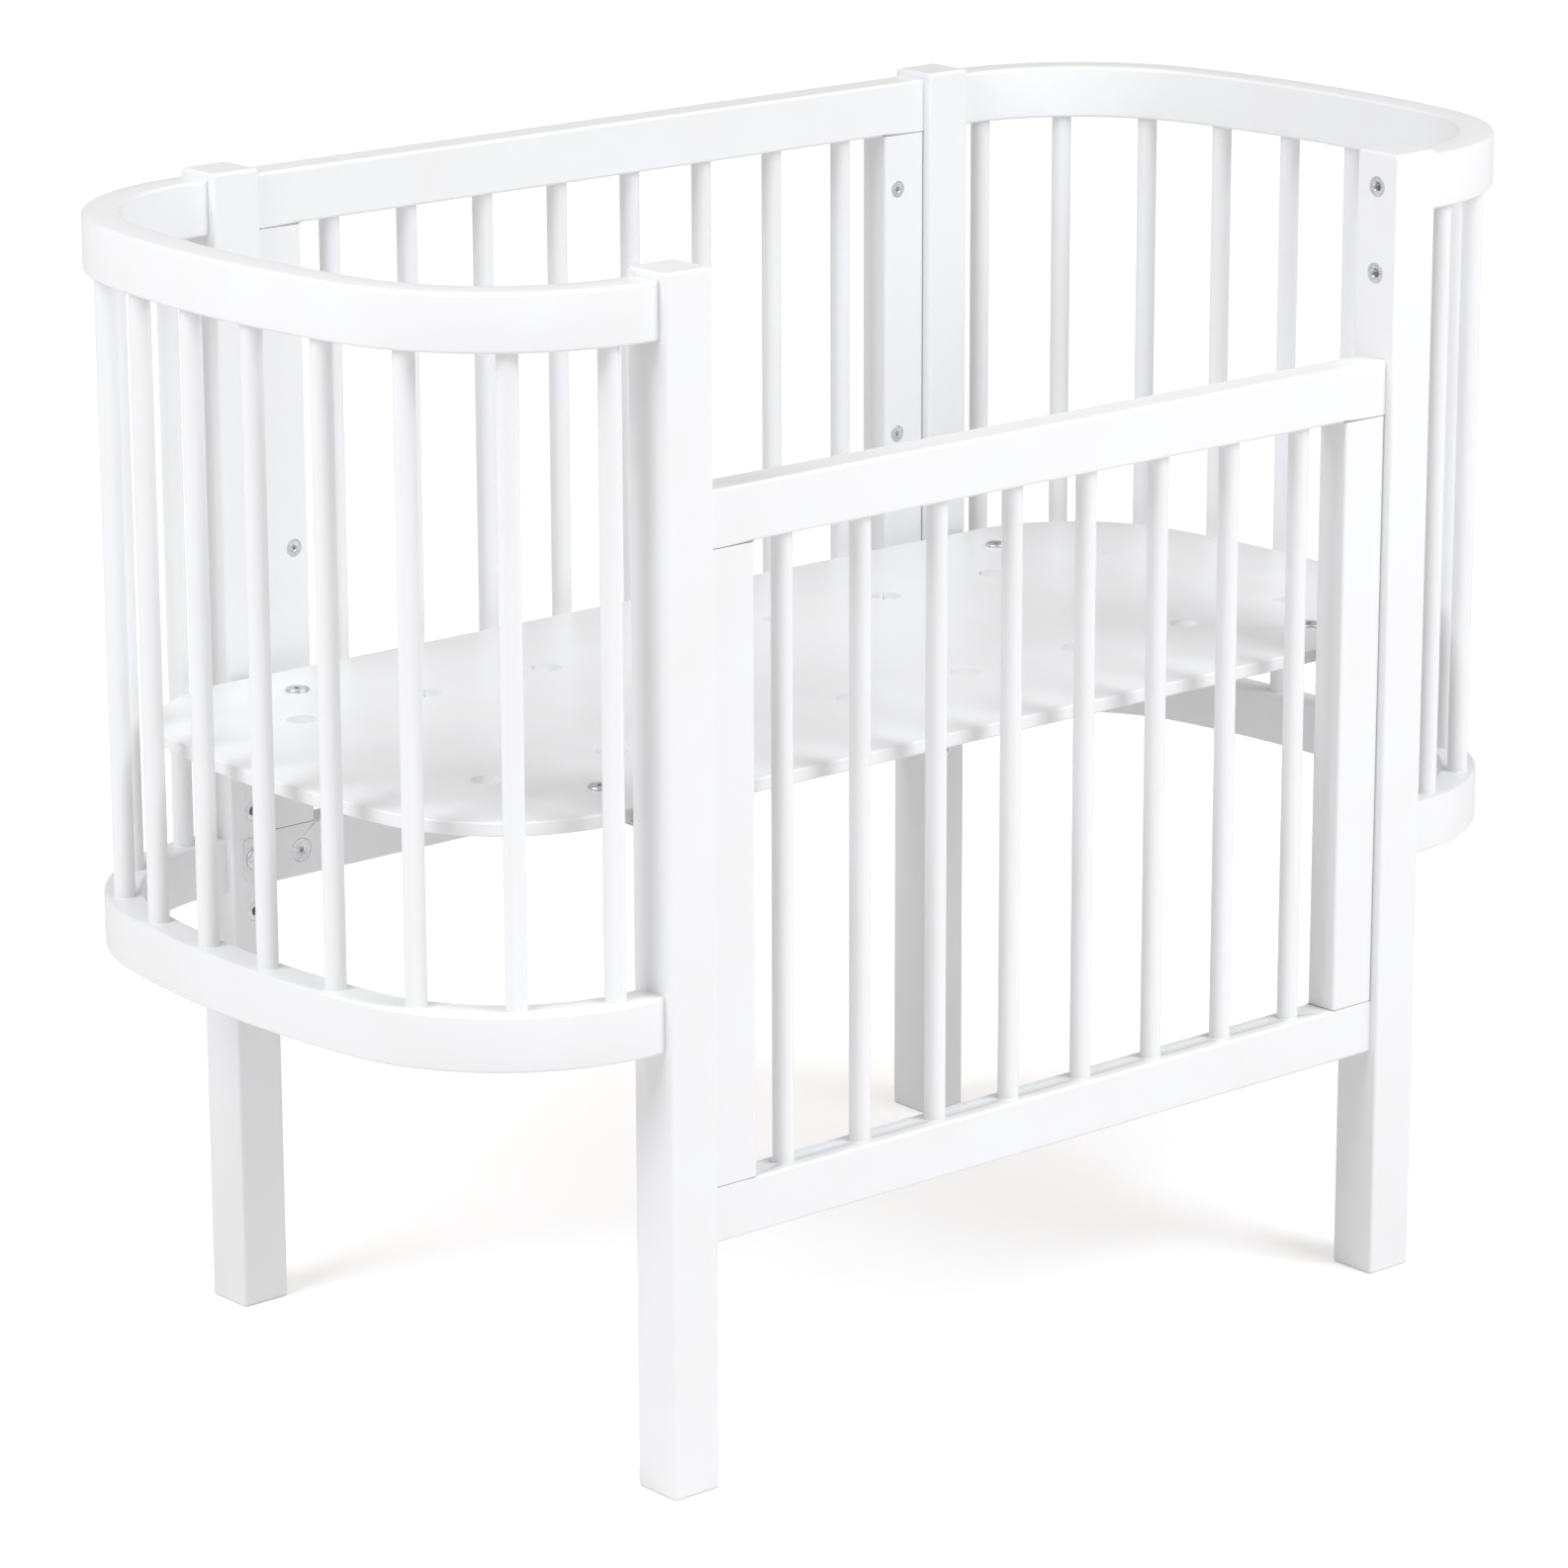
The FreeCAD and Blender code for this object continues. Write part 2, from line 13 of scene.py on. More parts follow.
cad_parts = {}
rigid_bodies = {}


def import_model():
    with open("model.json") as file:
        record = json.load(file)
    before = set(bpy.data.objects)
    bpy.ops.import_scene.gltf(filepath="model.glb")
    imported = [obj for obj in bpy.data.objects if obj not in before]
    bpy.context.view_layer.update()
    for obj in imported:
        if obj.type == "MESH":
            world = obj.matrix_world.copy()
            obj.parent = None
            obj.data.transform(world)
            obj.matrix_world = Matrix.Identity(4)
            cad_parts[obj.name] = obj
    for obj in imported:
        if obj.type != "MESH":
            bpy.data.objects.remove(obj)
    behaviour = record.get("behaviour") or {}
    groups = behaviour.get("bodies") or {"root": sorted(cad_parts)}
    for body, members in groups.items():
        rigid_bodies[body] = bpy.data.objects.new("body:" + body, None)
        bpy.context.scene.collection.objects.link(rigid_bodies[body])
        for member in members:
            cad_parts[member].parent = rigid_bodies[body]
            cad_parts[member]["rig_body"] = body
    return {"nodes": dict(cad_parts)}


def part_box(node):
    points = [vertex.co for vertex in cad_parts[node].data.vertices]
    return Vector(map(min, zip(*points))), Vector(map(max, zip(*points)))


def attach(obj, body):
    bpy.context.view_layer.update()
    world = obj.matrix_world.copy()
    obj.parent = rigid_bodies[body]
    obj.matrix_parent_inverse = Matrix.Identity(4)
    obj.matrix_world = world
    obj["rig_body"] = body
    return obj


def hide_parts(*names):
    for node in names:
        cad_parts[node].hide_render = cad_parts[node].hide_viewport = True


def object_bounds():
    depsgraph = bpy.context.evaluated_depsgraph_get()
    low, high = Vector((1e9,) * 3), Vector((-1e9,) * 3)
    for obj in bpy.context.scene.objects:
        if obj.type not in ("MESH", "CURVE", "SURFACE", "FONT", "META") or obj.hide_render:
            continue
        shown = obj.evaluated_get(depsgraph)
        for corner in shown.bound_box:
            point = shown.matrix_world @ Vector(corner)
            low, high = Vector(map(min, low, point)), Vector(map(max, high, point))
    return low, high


bl_info = {
    "name": "Baby crib",
    "version": (1, 0, 0),
    "blender": (4, 5, 0),
    "location": "3D View > Sidebar > Crib",
    "description": "Lacquered wood, turned spindles, fasteners and a studio for a baby crib",
    "category": "Object",
}

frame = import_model()
model_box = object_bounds()

SIDES = ("left", "right")
FACES = ("front", "rear")
LEVELS = ("top", "bottom")
POSTS = [face + "_" + side + "_post" for face in FACES for side in SIDES]
SIDE_RAILS = [face + "_panel_" + level + "_rail" for face in FACES for level in LEVELS]
STILES = [face + "_panel_" + side + "_stile" for face in FACES for side in SIDES]
BENT_RAILS = [side + "_end_" + level + "_rail" for side in SIDES for level in LEVELS]
SPINDLES = [node for node in sorted(frame["nodes"]) if "_spindle_" in node]

CREASE = math.radians(35)           # edges that turn sharper than this stay sharp
GRAIN_AXIS = {"satin_lacquer_across": 0, "satin_lacquer_deep": 1, "satin_lacquer_upright": 2}

# where the far lights come from: azimuth and elevation in degrees
LEFT_LIGHT_FROM = (-90.0, 51.0)
FRONT_LIGHT_FROM = (24.0, 49.0)
# where the near soft boxes stand, and the share of the crib's height that they look at
LEFT_BOX_PLACE = (-2.25, 0.0, 1.95)
FRONT_BOX_PLACE = (0.7, -2.1, 2.0)
BOX_AIM = 0.8


# ---- colours ----
def linear(code):
    """A colour given as sRGB hex, turned to the linear values that shaders and lights take."""
    values = [int(code[place:place + 2], 16) / 255 for place in (0, 2, 4)]
    return tuple(v / 12.92 if v <= 0.04045 else ((v + 0.055) / 1.055) ** 2.4 for v in values)


# ---- settings a user would change ----
class CribWoodSettings(PropertyGroup):
    """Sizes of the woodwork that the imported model's boxes don't give."""

    bend_lead: FloatProperty(
        name="Lead", description="Straight run of a bent rail next to its post",
        default=0.005, min=0.0, unit="LENGTH")
    corner_inset: FloatProperty(
        name="Corner inset",
        description="How much the corner radius falls short of the curved depth",
        default=0.009, min=0.001, unit="LENGTH")
    rail_rounding: FloatProperty(
        name="Rail rounding", description="Radius along the edges of a bent rail",
        default=0.0025, min=0.0005, unit="LENGTH")
    rail_tenon: FloatProperty(
        name="Rail tenon", description="Length of a bent rail's tenon in its post",
        default=0.018, min=0.001, unit="LENGTH")
    rail_tenon_thickness: FloatProperty(
        name="Rail tenon thickness", description="Thickness of a bent rail's tenon",
        default=0.012, min=0.001, unit="LENGTH")
    rail_tenon_shoulder: FloatProperty(
        name="Rail tenon shoulder", description="Rail height left above and below its tenon",
        default=0.007, min=0.001, unit="LENGTH")
    spindle_tenon: FloatProperty(
        name="Spindle tenon", description="Length of the turned-down end of a spindle",
        default=0.014, min=0.001, unit="LENGTH")
    spindle_tenon_dia: FloatProperty(
        name="Spindle tenon diameter", description="Diameter of the turned-down end of a spindle",
        default=0.010, min=0.001, unit="LENGTH")
    lacquer_fillet: FloatProperty(
        name="Lacquer fillet",
        description="Radius of the lacquer that gathers where a spindle meets a rail",
        default=0.0006, min=0.0001, unit="LENGTH")


class CribSteelSettings(PropertyGroup):
    """Sizes of the screws, nuts and inserts."""

    thread_dia: FloatProperty(
        name="Thread diameter", description="Over the crests of the bolts and the studs",
        default=0.006, min=0.001, unit="LENGTH")
    thread_pitch: FloatProperty(
        name="Thread pitch",
        description="From crest to crest, drawn coarser than real so that it shows",
        default=0.00125, min=0.0003, unit="LENGTH")
    thread_depth: FloatProperty(
        name="Thread depth", description="Crest to root",
        default=0.0004, min=0.0001, unit="LENGTH")
    head_height: FloatProperty(
        name="Head height", description="Height of a flat bolt head",
        default=0.0022, min=0.0005, unit="LENGTH")
    socket_size: FloatProperty(
        name="Socket", description="Across the flats of a hexagon socket",
        default=0.004, min=0.001, unit="LENGTH")
    socket_depth: FloatProperty(
        name="Socket depth", description="Depth of a hexagon socket",
        default=0.0032, min=0.0005, unit="LENGTH")
    insert_dia: FloatProperty(
        name="Insert diameter", description="Barbed body of a threaded insert",
        default=0.010, min=0.002, unit="LENGTH")
    insert_flange: FloatProperty(
        name="Insert flange", description="Thickness of an insert's flange",
        default=0.0012, min=0.0003, unit="LENGTH")
    nut_dia: FloatProperty(
        name="Barrel nut diameter", description="Body of a barrel nut, behind its flange",
        default=0.012, min=0.002, unit="LENGTH")
    nut_flange: FloatProperty(
        name="Nut flange", description="Thickness of a barrel nut's flange",
        default=0.001, min=0.0003, unit="LENGTH")


class CribFinishSettings(PropertyGroup):
    """Colours and gloss of the finishes."""

    lacquer: FloatVectorProperty(
        name="Lacquer", description="Body colour of the white lacquer",
        subtype="COLOR", size=3, min=0.0, max=1.0, default=linear("EDEEF0"))
    lacquer_thin: FloatVectorProperty(
        name="Thin lacquer", description="Where the lacquer lies a little thinner over the wood",
        subtype="COLOR", size=3, min=0.0, max=1.0, default=linear("EBEBEA"))
    lacquer_roughness: FloatProperty(
        name="Lacquer roughness", description="Satin gloss of the lacquer",
        default=0.36, min=0.0, max=1.0, subtype="FACTOR")
    steel: FloatVectorProperty(
        name="Steel", description="Bright zinc plating",
        subtype="COLOR", size=3, min=0.0, max=1.0, default=linear("E8E9EA"))
    steel_dull: FloatVectorProperty(
        name="Dull steel", description="Darker crystals of the zinc plating",
        subtype="COLOR", size=3, min=0.0, max=1.0, default=linear("CED0D2"))
    steel_roughness: FloatProperty(
        name="Steel roughness", description="Gloss of the zinc plating",
        default=0.30, min=0.0, max=1.0, subtype="FACTOR")
    plastic: FloatVectorProperty(
        name="Plastic", description="Moulded white plastic of the bolt plates",
        subtype="COLOR", size=3, min=0.0, max=1.0, default=linear("EBEBEA"))
    plastic_dull: FloatVectorProperty(
        name="Dull plastic", description="Hollows of the plastic's spark texture",
        subtype="COLOR", size=3, min=0.0, max=1.0, default=linear("E4E4E3"))
    # These two browns are painted shade: they darken the fine groove at each stile's shoulder
    # beyond the groove's own shadow
    joint_dark: FloatVectorProperty(
        name="Dark joint", description="Pores of the bare beech in a joint's groove",
        subtype="COLOR", size=3, min=0.0, max=1.0, default=linear("4A3A2E"))
    joint: FloatVectorProperty(
        name="Joint", description="Bare beech in a joint's groove",
        subtype="COLOR", size=3, min=0.0, max=1.0, default=linear("7C6752"))


class CribStageSettings(PropertyGroup):
    """Camera, lights and floor of the studio."""

    azimuth: FloatProperty(
        name="Azimuth", description="Turn of the camera round the crib, zero looking to the rear",
        default=math.radians(-40.67), subtype="ANGLE")
    elevation: FloatProperty(
        name="Elevation", description="Angle of the camera above the horizon",
        default=math.radians(15.60), subtype="ANGLE")
    roll: FloatProperty(
        name="Roll", description="Tilt of the camera about its own axis",
        default=math.radians(-0.16), subtype="ANGLE")
    place: FloatVectorProperty(
        name="Place", description="Where the camera stands",
        default=(-2.815, -3.243, 1.585), size=3, subtype="TRANSLATION")
    lens: FloatProperty(
        name="Lens", description="Focal length of the camera, in millimetres",
        default=139.3, min=1.0)
    sky: FloatProperty(
        name="Sky", description="Strength of the even light from all round",
        default=0.46, min=0.0)
    sky_colour: FloatVectorProperty(
        name="Sky colour", description="Slightly warm, so that shaded wood is a warm grey",
        subtype="COLOR", size=3, min=0.0, max=1.0, default=linear("FFFAF6"))
    left_light: FloatProperty(
        name="Left light", description="Strength of the far soft light at the left-hand end",
        default=0.82, min=0.0)
    front_light: FloatProperty(
        name="Front light", description="Strength of the far soft light at the front",
        default=0.92, min=0.0)
    left_box: FloatProperty(
        name="Left soft box", description="Power of the near soft box at the left-hand end",
        default=21.5, min=0.0, subtype="POWER")
    front_box: FloatProperty(
        name="Front soft box", description="Power of the near soft box at the front",
        default=25.0, min=0.0, subtype="POWER")
    box_size: FloatProperty(
        name="Soft box size", description="Side of each square soft box",
        default=1.2, min=0.01, unit="LENGTH")
    light_colour: FloatVectorProperty(
        name="Light colour", description="Very slightly cool, so that lit wood is a clean white",
        subtype="COLOR", size=3, min=0.0, max=1.0, default=linear("F6F9FE"))
    floor_glow: FloatProperty(
        name="Floor glow",
        description="How much brighter the camera sees the floor than it lights the crib",
        default=0.34, min=0.0)
    softness: FloatProperty(
        name="Softness", description="Angle that each soft light fills, seen from the crib",
        default=math.radians(36.0), min=0.0, subtype="ANGLE")
    floor_reach: FloatProperty(
        name="Floor reach", description="Half the side of the floor",
        default=24.0, min=2.0, unit="LENGTH")
    floor_steps: IntProperty(
        name="Floor steps", description="Squares along each side of the floor",
        default=24, min=1)
    floor: FloatVectorProperty(
        name="Floor", description="Pale studio floor",
        subtype="COLOR", size=3, min=0.0, max=1.0, default=linear("ECEBEA"))


# ---- surfaces ----
def arc(centre, radius, start, end, steps=5):
    """Points on a circle between two angles in degrees: centre plus radius times (cos, sin)."""
    angle = np.radians(np.linspace(start, end, steps + 1))
    across, up = centre
    return np.stack([across + radius * np.cos(angle), up + radius * np.sin(angle)], axis=-1)


def turned(profile, around, hexagon=(), looped=False):
    """Points, quads and triangles of a solid turned about z from a profile of (radius, height).

    Ring k holds (r cos a, r sin a, h) for its point (r, h), with a going once round. A ring named
    in hexagon takes r as half its width across flats, so its radius at angle a is r over the
    cosine of the angle from the nearest flat's middle. A looped profile joins its last ring to its
    first, and any other is closed by a point on the axis at each end. The profile runs out from
    the lower end's middle.
    """
    profile = np.asarray(profile, float)
    rings = len(profile)
    angle = np.arange(around) * 2 * np.pi / around
    radius = np.repeat(profile[:, :1], around, axis=1)
    from_flat = np.mod(angle, np.pi / 3) - np.pi / 6
    radius[list(hexagon)] /= np.cos(from_flat)
    height = np.repeat(profile[:, 1:], around, axis=1)
    points = np.stack([radius * np.cos(angle), radius * np.sin(angle), height], axis=-1)
    points = points.reshape(-1, 3)
    ring = np.arange(rings)[:, None] * around
    upper = np.roll(ring, -1, axis=0)
    here = np.arange(around)[None, :]
    there = np.roll(here, -1, axis=1)
    quads = np.stack([ring + here, ring + there, upper + there, upper + here], axis=-1)
    if looped:
        return points, quads.reshape(-1, 4), np.zeros((0, 3), int)
    middles = np.array([[0, 0, profile[0, 1]], [0, 0, profile[-1, 1]]])
    low = np.full(around, len(points))
    last = (rings - 1) * around
    triangles = np.concatenate([
        np.stack([low, there[0], here[0]], axis=-1),
        np.stack([low + 1, last + here[0], last + there[0]], axis=-1),
    ])
    return np.concatenate([points, middles]), quads[:-1].reshape(-1, 4), triangles


def set_out(shape, places, axes):
    """Copies of a shape, one for each place, with its z axis turned to each axis.

    The turn's columns are a side vector at right angles to the axis, axis cross side, and the axis.
    """
    points, quads, triangles = shape
    along = np.asarray(axes, float)
    side = np.where(np.abs(along[:, 2:]) > 0.5, (1.0, 0.0, 0.0), (0.0, 0.0, 1.0))
    turns = np.stack([side, np.cross(along, side), along], axis=-1)
    placed = np.einsum("nij,pj->npi", turns, points) + np.asarray(places, float)[:, None, :]
    shift = np.arange(len(along))[:, None, None] * len(points)
    return (placed.reshape(-1, 3), (quads + shift).reshape(-1, 4),
            (triangles + shift).reshape(-1, 3))


def joined(shapes):
    """Several shapes as one."""
    points, quads, triangles = [], [], []
    count = 0
    for more_points, more_quads, more_triangles in shapes:
        points.append(more_points)
        quads.append(more_quads + count)
        triangles.append(more_triangles + count)
        count += len(more_points)
    return np.concatenate(points), np.concatenate(quads), np.concatenate(triangles)


def rounded_outline(width, height, radius, steps=5):
    """Outline of a round-cornered rectangle, from (0, 0) to (width, height), anticlockwise."""
    right, top = width - radius, height - radius
    return np.concatenate([
        arc((radius, radius), radius, 180, 270, steps),
        arc((right, radius), radius, 270, 360, steps),
        arc((right, top), radius, 0, 90, steps),
        arc((radius, top), radius, 90, 180, steps),
    ])


def swept(outer, normal, outline, low):
    """A profile carried along a path.

    Station s and outline point (i, h) give the point outer(s) - i normal(s) at height low + h.
    Each end is closed by triangles from the middle of its outline.
    """
    stations, around = len(outer), len(outline)
    flat = outer[:, None, :] - outline[None, :, :1] * normal[:, None, :]
    height = np.broadcast_to(low + outline[None, :, 1:], (stations, around, 1))
    points = np.concatenate([flat, height], axis=-1)
    middles = points[[0, -1]].mean(axis=1)
    ring = np.arange(stations - 1)[:, None] * around
    here = np.arange(around)[None, :]
    there = np.roll(here, -1, axis=1)
    after = ring + around
    quads = np.stack([ring + here, after + here, after + there, ring + there], axis=-1)
    first = np.full(around, stations * around)
    last = (stations - 1) * around
    triangles = np.concatenate([
        np.stack([first, here[0], there[0]], axis=-1),
        np.stack([first + 1, last + there[0], last + here[0]], axis=-1),
    ])
    points = np.concatenate([points.reshape(-1, 3), middles])
    return points, quads.reshape(-1, 4), triangles


def outward(shape):
    """The shape with its faces pointing outwards, so that the volume they enclose is positive."""
    points, quads, triangles = shape
    halves = np.concatenate([quads[:, [0, 1, 2]], quads[:, [0, 2, 3]], triangles])
    a, b, c = points[halves[:, 0]], points[halves[:, 1]], points[halves[:, 2]]
    if np.einsum("ij,ij->i", a, np.cross(b, c)).sum() >= 0:
        return shape
    return points, quads[:, ::-1], triangles[:, ::-1]


# ---- pieces ----
def finish_piece(mesh, material, nodes):
    """A mesh as a piece with its finish, which stands for its nodes and rides on their body.

    It is shaded smooth but for the edges that turn sharper than the crease.
    """
    mesh.shade_smooth()
    mesh.set_sharp_from_angle(angle=CREASE)
    mesh.materials.clear()
    mesh.materials.append(material)
    piece = bpy.data.objects.new(mesh.name, mesh)
    bpy.context.scene.collection.objects.link(piece)
    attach(piece, frame["nodes"][nodes[0]]["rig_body"])
    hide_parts(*nodes)
    return piece


def add_piece(name, shape, material, nodes):
    """A new mesh object from a shape."""
    points, quads, triangles = outward(shape)
    mesh = bpy.data.meshes.new(name)
    mesh.from_pydata(points.tolist(), [], quads.tolist() + triangles.tolist())
    mesh.validate()
    return finish_piece(mesh, material, nodes)


def add_copy(node, name, material):
    """A copy of a node with its corners merged, so that its rounded edges shade smoothly."""
    mesh = frame["nodes"][node].data.copy()
    mesh.name = name
    work = bmesh.new()
    work.from_mesh(mesh)
    bmesh.ops.remove_doubles(work, verts=work.verts, dist=1e-6)
    work.to_mesh(mesh)
    work.free()
    piece = finish_piece(mesh, material, (node,))
    weighted = piece.modifiers.new("Flat faces lead", "WEIGHTED_NORMAL")
    weighted.keep_sharp = True
    return piece


def solid_boxes(node):
    """Lowest and highest corner of each separate solid of a node.

    Corners that share a place are one corner. Each starts with its own number, and the lowest
    number spreads over the triangles until every solid has one number.
    """
    mesh = frame["nodes"][node].data
    corners = np.empty(len(mesh.vertices) * 3)
    mesh.vertices.foreach_get("co", corners)
    corners = corners.reshape(-1, 3)
    mesh.calc_loop_triangles()
    triangles = np.empty(len(mesh.loop_triangles) * 3, int)
    mesh.loop_triangles.foreach_get("vertices", triangles)
    places, merged = np.unique(np.round(corners * 1e6).astype(int), axis=0, return_inverse=True)
    merged = merged.ravel()
    triangles = merged[triangles.reshape(-1, 3)]
    number = np.arange(len(places))
    while True:
        spread = number.copy()
        np.minimum.at(spread, triangles.ravel(), np.repeat(number[triangles].min(axis=1), 3))
        spread = spread[spread]
        if np.array_equal(spread, number):
            break
        number = spread
    boxes = []
    for solid in np.unique(number):
        own = corners[number[merged] == solid]
        boxes.append((own.min(axis=0), own.max(axis=0)))
    return boxes


def fastener_places(boxes, axis):
    """Visible end, inward direction and length of fasteners along an axis that face the middle."""
    places, ways, lengths = [], [], []
    for low, high in boxes:
        middle = (low + high) / 2
        way = np.zeros(3)
        way[axis] = math.copysign(1.0, middle[axis])
        end = middle.copy()
        end[axis] = min(abs(low[axis]), abs(high[axis])) * way[axis]
        places.append(end)
        ways.append(way)
        lengths.append(high[axis] - low[axis])
    return np.array(places), np.array(ways), np.array(lengths)


# ---- finishes ----
def add_node(tree, kind, values=None, links=None):
    """Adds one node, with its settings or socket values and the sockets that feed it."""
    made = tree.nodes.new(kind)
    for name, value in (values or {}).items():
        if name in made.inputs:
            made.inputs[name].default_value = value
        else:
            setattr(made, name, value)
    for name, source in (links or {}).items():
        tree.links.new(source, made.inputs[name])
    return made


def shade_between(tree, factor, first, second):
    """Colour ramp between two colours."""
    ramp = add_node(tree, "ShaderNodeValToRGB", links={"Fac": factor})
    ramp.color_ramp.elements[0].position = 0.2
    ramp.color_ramp.elements[0].color = (*first, 1.0)
    ramp.color_ramp.elements[1].position = 0.8
    ramp.color_ramp.elements[1].color = (*second, 1.0)
    return ramp.outputs["Color"]


def blank_finish(name):
    """A new material, its empty node tree, and the place on the piece that its patterns read."""
    material = bpy.data.materials.new(name)
    material.use_nodes = True
    tree = material.node_tree
    tree.nodes.clear()
    return material, tree, add_node(tree, "ShaderNodeTexCoord").outputs["Object"]


def satin_lacquer(name):
    """Sprayed satin lacquer on close-grained beech.

    An even white with a soft sheen. A faint ripple of about 2 mm lies in the film, the grain shows
    through as hair-fine lines, and the white shifts a touch warmer where the film is thin.
    """
    finish = bpy.context.scene.crib_finish
    material, tree, place = blank_finish(name)
    cloud_size, grain_width, ripple_size, depth = 0.070, 0.0016, 0.0022, 0.0002
    along = [1.0, 1.0, 1.0]
    along[GRAIN_AXIS[name]] = 0.04
    lengthwise = add_node(tree, "ShaderNodeMapping", {"Scale": along}, {"Vector": place})
    cloud = add_node(tree, "ShaderNodeTexNoise", {"Scale": 1 / cloud_size, "Detail": 3.0},
                     {"Vector": place})
    grain = add_node(tree, "ShaderNodeTexNoise",
                     {"Scale": 1 / grain_width, "Detail": 4.0, "Roughness": 0.6},
                     {"Vector": lengthwise.outputs["Vector"]})
    ripple = add_node(tree, "ShaderNodeTexNoise", {"Scale": 1 / ripple_size, "Detail": 1.0},
                      {"Vector": place})
    gloss = add_node(tree, "ShaderNodeMapRange",
                     {"To Min": finish.lacquer_roughness - 0.04,
                      "To Max": finish.lacquer_roughness + 0.06},
                     {"Value": cloud.outputs["Fac"]})
    raised = add_node(tree, "ShaderNodeBump", {"Strength": 0.10, "Distance": depth},
                      {"Height": grain.outputs["Fac"]})
    rippled = add_node(tree, "ShaderNodeBump", {"Strength": 0.07, "Distance": depth},
                       {"Height": ripple.outputs["Fac"], "Normal": raised.outputs["Normal"]})
    colour = shade_between(tree, cloud.outputs["Fac"], finish.lacquer, finish.lacquer_thin)
    shader = add_node(tree, "ShaderNodeBsdfPrincipled",
                      {"IOR": 1.5, "Coat Weight": 0.2, "Coat Roughness": 0.22, "Coat IOR": 1.45},
                      {"Base Color": colour, "Roughness": gloss.outputs["Result"],
                       "Normal": rippled.outputs["Normal"]})
    add_node(tree, "ShaderNodeOutputMaterial", links={"Surface": shader.outputs["BSDF"]})
    return material


def zinc_plating(name):
    """Bright zinc plating on turned and pressed steel: silvery, a little hazy, faint crystals."""
    finish = bpy.context.scene.crib_finish
    material, tree, place = blank_finish(name)
    crystal_size, haze_size = 0.0018, 0.004
    crystals = add_node(tree, "ShaderNodeTexVoronoi", {"Scale": 1 / crystal_size},
                        {"Vector": place})
    haze = add_node(tree, "ShaderNodeTexNoise", {"Scale": 1 / haze_size, "Detail": 4.0},
                    {"Vector": place})
    gloss = add_node(tree, "ShaderNodeMapRange",
                     {"To Min": finish.steel_roughness - 0.06,
                      "To Max": finish.steel_roughness + 0.10},
                     {"Value": haze.outputs["Fac"]})
    raised = add_node(tree, "ShaderNodeBump", {"Strength": 0.08, "Distance": 0.0002},
                      {"Height": haze.outputs["Fac"]})
    colour = shade_between(tree, crystals.outputs["Distance"], finish.steel, finish.steel_dull)
    shader = add_node(tree, "ShaderNodeBsdfPrincipled", {"Metallic": 1.0},
                      {"Base Color": colour, "Roughness": gloss.outputs["Result"],
                       "Normal": raised.outputs["Normal"]})
    add_node(tree, "ShaderNodeOutputMaterial", links={"Surface": shader.outputs["BSDF"]})
    return material


def moulded_plastic(name):
    """Moulded white plastic: a soft sheen over a fine, even spark texture of about 0.5 mm."""
    finish = bpy.context.scene.crib_finish
    material, tree, place = blank_finish(name)
    spark_size = 0.0005
    spark = add_node(tree, "ShaderNodeTexNoise", {"Scale": 1 / spark_size, "Detail": 2.0},
                     {"Vector": place})
    raised = add_node(tree, "ShaderNodeBump", {"Strength": 0.10, "Distance": 0.0001},
                      {"Height": spark.outputs["Fac"]})
    colour = shade_between(tree, spark.outputs["Fac"], finish.plastic, finish.plastic_dull)
    shader = add_node(tree, "ShaderNodeBsdfPrincipled", {"Roughness": 0.42, "IOR": 1.46},
                      {"Base Color": colour, "Normal": raised.outputs["Normal"]})
    add_node(tree, "ShaderNodeOutputMaterial", links={"Surface": shader.outputs["BSDF"]})
    return material


def painted_joint_shade(name):
    """Painted shade for a joint's fine groove: matt brown with darker pores, laid on the groove
    faces to darken the joint line.
    """
    finish = bpy.context.scene.crib_finish
    material, tree, place = blank_finish(name)
    pore_size = 0.0012
    pores = add_node(tree, "ShaderNodeTexNoise", {"Scale": 1 / pore_size, "Detail": 3.0},
                     {"Vector": place})
    raised = add_node(tree, "ShaderNodeBump", {"Strength": 0.2, "Distance": 0.0001},
                      {"Height": pores.outputs["Fac"]})
    colour = shade_between(tree, pores.outputs["Fac"], finish.joint_dark, finish.joint)
    shader = add_node(tree, "ShaderNodeBsdfPrincipled", {"Roughness": 0.8},
                      {"Base Color": colour, "Normal": raised.outputs["Normal"]})
    add_node(tree, "ShaderNodeOutputMaterial", links={"Surface": shader.outputs["BSDF"]})
    return material


FINISHES = {
    **dict.fromkeys(GRAIN_AXIS, satin_lacquer),
    "bright_zinc_plating": zinc_plating,
    "moulded_white_plastic": moulded_plastic,
    # dark brown painted into the joint grooves as shade
    "joint_groove_painted_shade": painted_joint_shade,
}


def finish_named(name):
    """The finish of that name, made when it is first asked for."""
    return bpy.data.materials.get(name) or FINISHES[name](name)


# ---- woodwork ----
class CRIB_OT_posts(Operator):
    """Four square posts with eased edges, their mortises and insert holes open"""

    bl_idname = "crib.posts"
    bl_label = "Posts"

    def execute(self, context):
        for node in POSTS:
            add_copy(node, node + "_lacquered", finish_named("satin_lacquer_upright"))
        return {"FINISHED"}


class CRIB_OT_side_panels(Operator):
    """Straight rails and stiles of the front and rear side panels"""

    bl_idname = "crib.side_panels"
    bl_label = "Side panel rails and stiles"

    def execute(self, context):
        for node in SIDE_RAILS:
            add_copy(node, node + "_lacquered", finish_named("satin_lacquer_across"))
        for node in STILES:
            piece = add_copy(node, node + "_lacquered", finish_named("satin_lacquer_upright"))
            panel = node[:node.index("_panel")] + "_panel"
            # the groove faces at both shoulders get a dark brown that paints shade into the joint
            # line
            paint_joint_groove_shade(piece, (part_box(panel + "_bottom_rail")[1].z,
                                    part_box(panel + "_top_rail")[0].z))
        return {"FINISHED"}


